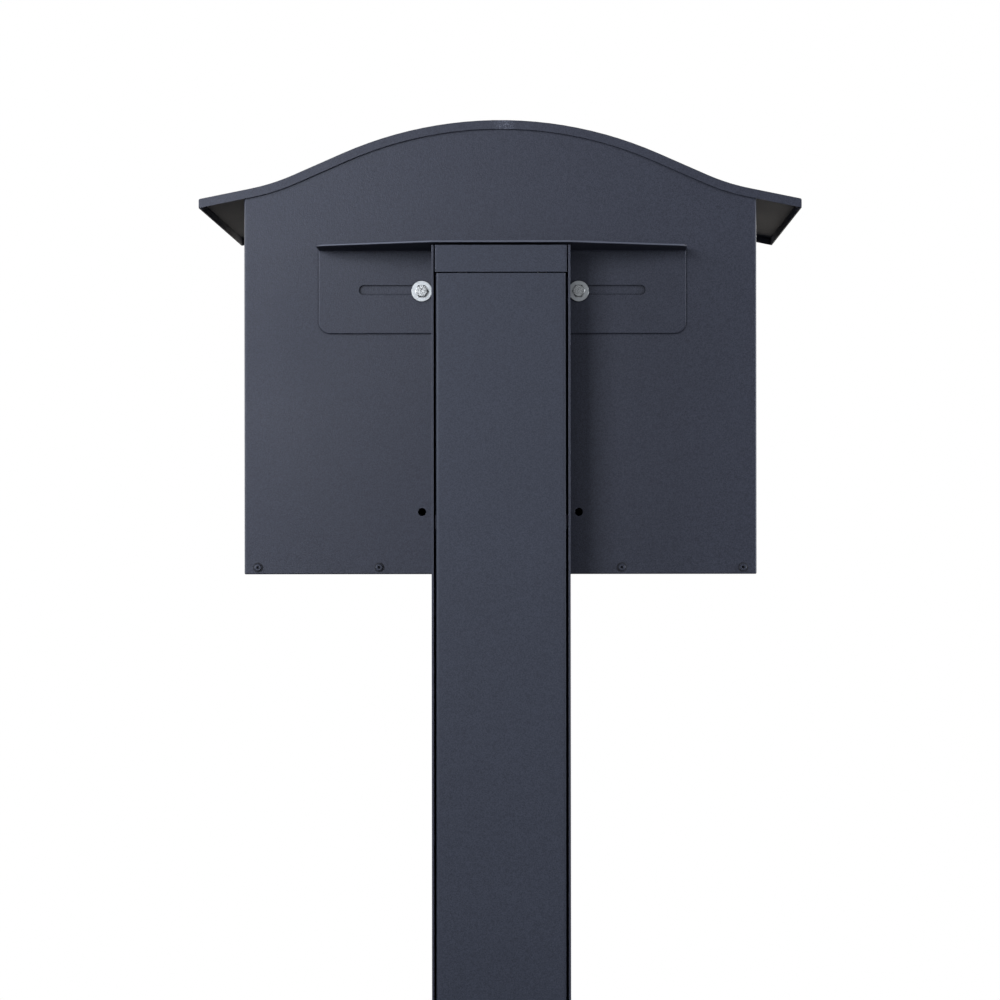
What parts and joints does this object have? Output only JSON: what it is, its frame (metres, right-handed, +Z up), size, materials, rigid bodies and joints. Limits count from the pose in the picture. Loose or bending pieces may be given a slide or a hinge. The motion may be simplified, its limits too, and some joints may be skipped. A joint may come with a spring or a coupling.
{
  "type": "post-mounted mailbox unit",
  "caption": "Arched-roof sheet-steel mailbox with side-by-side lockable compartments and letter flaps, bolted by a slotted bracket to a C-section post with a clip-in cover.",
  "frame": {"origin": "on the ground under the middle of the post, at the base plate's underside", "axes": "+Z up; the doors and letter flaps face -Y; the bracket and the post's open side face +Y; +X is to the right when looking at the doors"},
  "size_m": [0.5304, 0.402, 1.2991],
  "materials": {
    "powder_coat": "fine-grained anthracite powder coat",
    "cover_coat": "smooth satin anthracite powder coat",
    "door_coat": "fine-grained anthracite powder coat",
    "coated_rivet": "anthracite powder coat, rubbed on the head",
    "zinc_plate": "bright zinc plate",
    "stainless": "brushed stainless steel",
    "spring_steel": "blued spring steel",
    "lock_chrome": "chrome plate",
    "key_brass": "nickel-plated brass",
    "card": "blank matt card",
    "rubber": "black rubber"
  },
  "bodies": {
    "root": {"body_shell": "powder_coat", "roof": "powder_coat", "floor_pan": "powder_coat", "front_frame": "powder_coat", "partition": "powder_coat", "roof_rail": "powder_coat", "post_channel": "powder_coat", "post_top_plate": "cover_coat", "bracket": "powder_coat", "base_plate": "powder_coat", "base_gussets": "powder_coat", "rear_rivets": "coated_rivet", "side_rivets": "coated_rivet", "front_rivets": "coated_rivet", "mounting_bolts": "zinc_plate", "mounting_washers": "zinc_plate", "inner_washers": "zinc_plate", "mounting_nuts": "zinc_plate", "bracket_studs": "zinc_plate", "bracket_nuts": "zinc_plate", "roof_studs": "zinc_plate", "roof_nuts": "zinc_plate", "baffle_left": "powder_coat", "baffle_right": "powder_coat", "flap_rod_left": "stainless", "flap_rod_right": "stainless", "door_pins_left": "stainless", "door_pins_right": "stainless", "flap_bumpers_left": "rubber", "flap_bumpers_right": "rubber", "door_bumpers_left": "rubber", "door_bumpers_right": "rubber", "rear_rivet_seals": "rubber", "side_rivet_seals": "rubber", "front_rivet_seals": "rubber"},
    "door_left": {"door_left": "door_coat", "nameplate_left": "stainless", "lock_body_left": "lock_chrome", "lock_nut_left": "zinc_plate", "name_card_left": "card"},
    "door_right": {"door_right": "door_coat", "nameplate_right": "stainless", "lock_body_right": "lock_chrome", "lock_nut_right": "zinc_plate", "name_card_right": "card"},
    "flap_left": {"flap_left": "door_coat"},
    "flap_right": {"flap_right": "door_coat"},
    "lock_left": {"lock_plug_left": "lock_chrome", "lock_cam_left": "zinc_plate", "cam_screw_left": "zinc_plate", "key_left": "key_brass"},
    "lock_right": {"lock_plug_right": "lock_chrome", "lock_cam_right": "zinc_plate", "cam_screw_right": "zinc_plate", "key_right": "key_brass"},
    "post_cover": {"post_cover": "cover_coat", "cover_clips": "spring_steel"}
  },
  "joints": [
    {"name": "door_hinge_right", "type": "hinge", "parent": "root", "child": "door_right", "pos_m": [0.2054, -0.2925, 1.036], "axis": [0, 0, 1], "range_deg": [0, 105]},
    {"name": "flap_hinge_right", "type": "hinge", "parent": "root", "child": "flap_right", "pos_m": [0.1124, -0.301, 1.217], "axis": [-1, 0, 0], "range_deg": [0, 80]},
    {"name": "lock_turn_right", "type": "hinge", "parent": "door_right", "child": "lock_right", "pos_m": [0.0279, -0.297, 1.036], "axis": [0, 1, 0], "range_deg": [0, 90]},
    {"name": "door_hinge_left", "type": "hinge", "parent": "root", "child": "door_left", "pos_m": [-0.2016, -0.2925, 1.036], "axis": [0, 0, -1], "range_deg": [0, 105]},
    {"name": "flap_hinge_left", "type": "hinge", "parent": "root", "child": "flap_left", "pos_m": [-0.1086, -0.301, 1.217], "axis": [-1, 0, 0], "range_deg": [0, 80]},
    {"name": "lock_turn_left", "type": "hinge", "parent": "door_left", "child": "lock_left", "pos_m": [-0.0241, -0.297, 1.036], "axis": [0, -1, 0], "range_deg": [0, 90]},
    {"name": "post_cover_pull", "type": "slide", "parent": "root", "child": "post_cover", "axis": [0, 1, 0], "range_m": [0, 0.08]}
  ]
}
